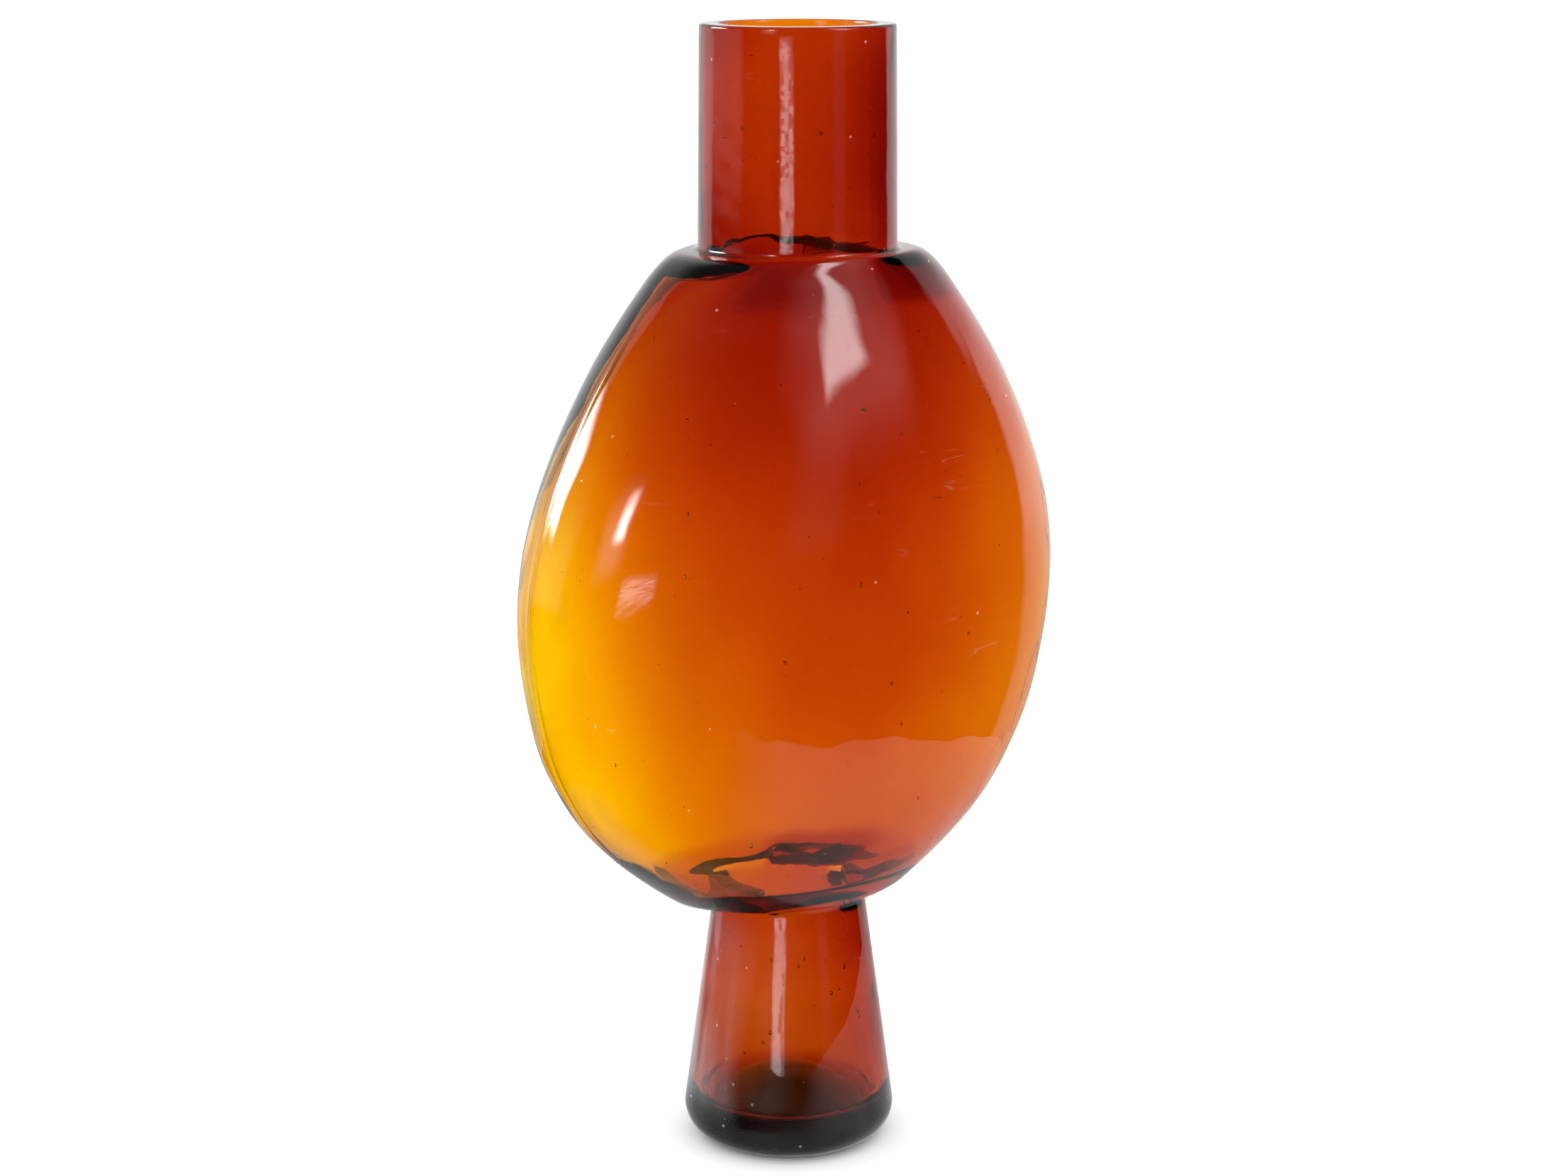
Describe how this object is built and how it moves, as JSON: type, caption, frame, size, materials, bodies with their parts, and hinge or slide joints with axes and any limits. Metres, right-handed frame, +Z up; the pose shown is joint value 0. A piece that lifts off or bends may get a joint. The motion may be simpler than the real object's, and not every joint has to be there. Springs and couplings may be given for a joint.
{
  "type": "glass bud vase",
  "caption": "Mouth-blown amber glass vase: straight round neck, flattened egg-shaped bulb with a ledge at each end, and a hollow cone foot on a thick floor. Holds flower stems and water.",
  "frame": {"origin": "on the table, at the centre of the vase's footprint", "axes": "+Z up the vase to its rim, X along the wide way of the flattened bulb, Y along its narrow way"},
  "size_m": [0.1601, 0.0891, 0.3],
  "materials": {
    "amber_glass": "fire-polished, mouth-blown, transparent amber"
  },
  "bodies": {
    "root": {"neck": "amber_glass", "body": "amber_glass", "foot": "amber_glass", "base": "amber_glass"}
  },
  "joints": []
}
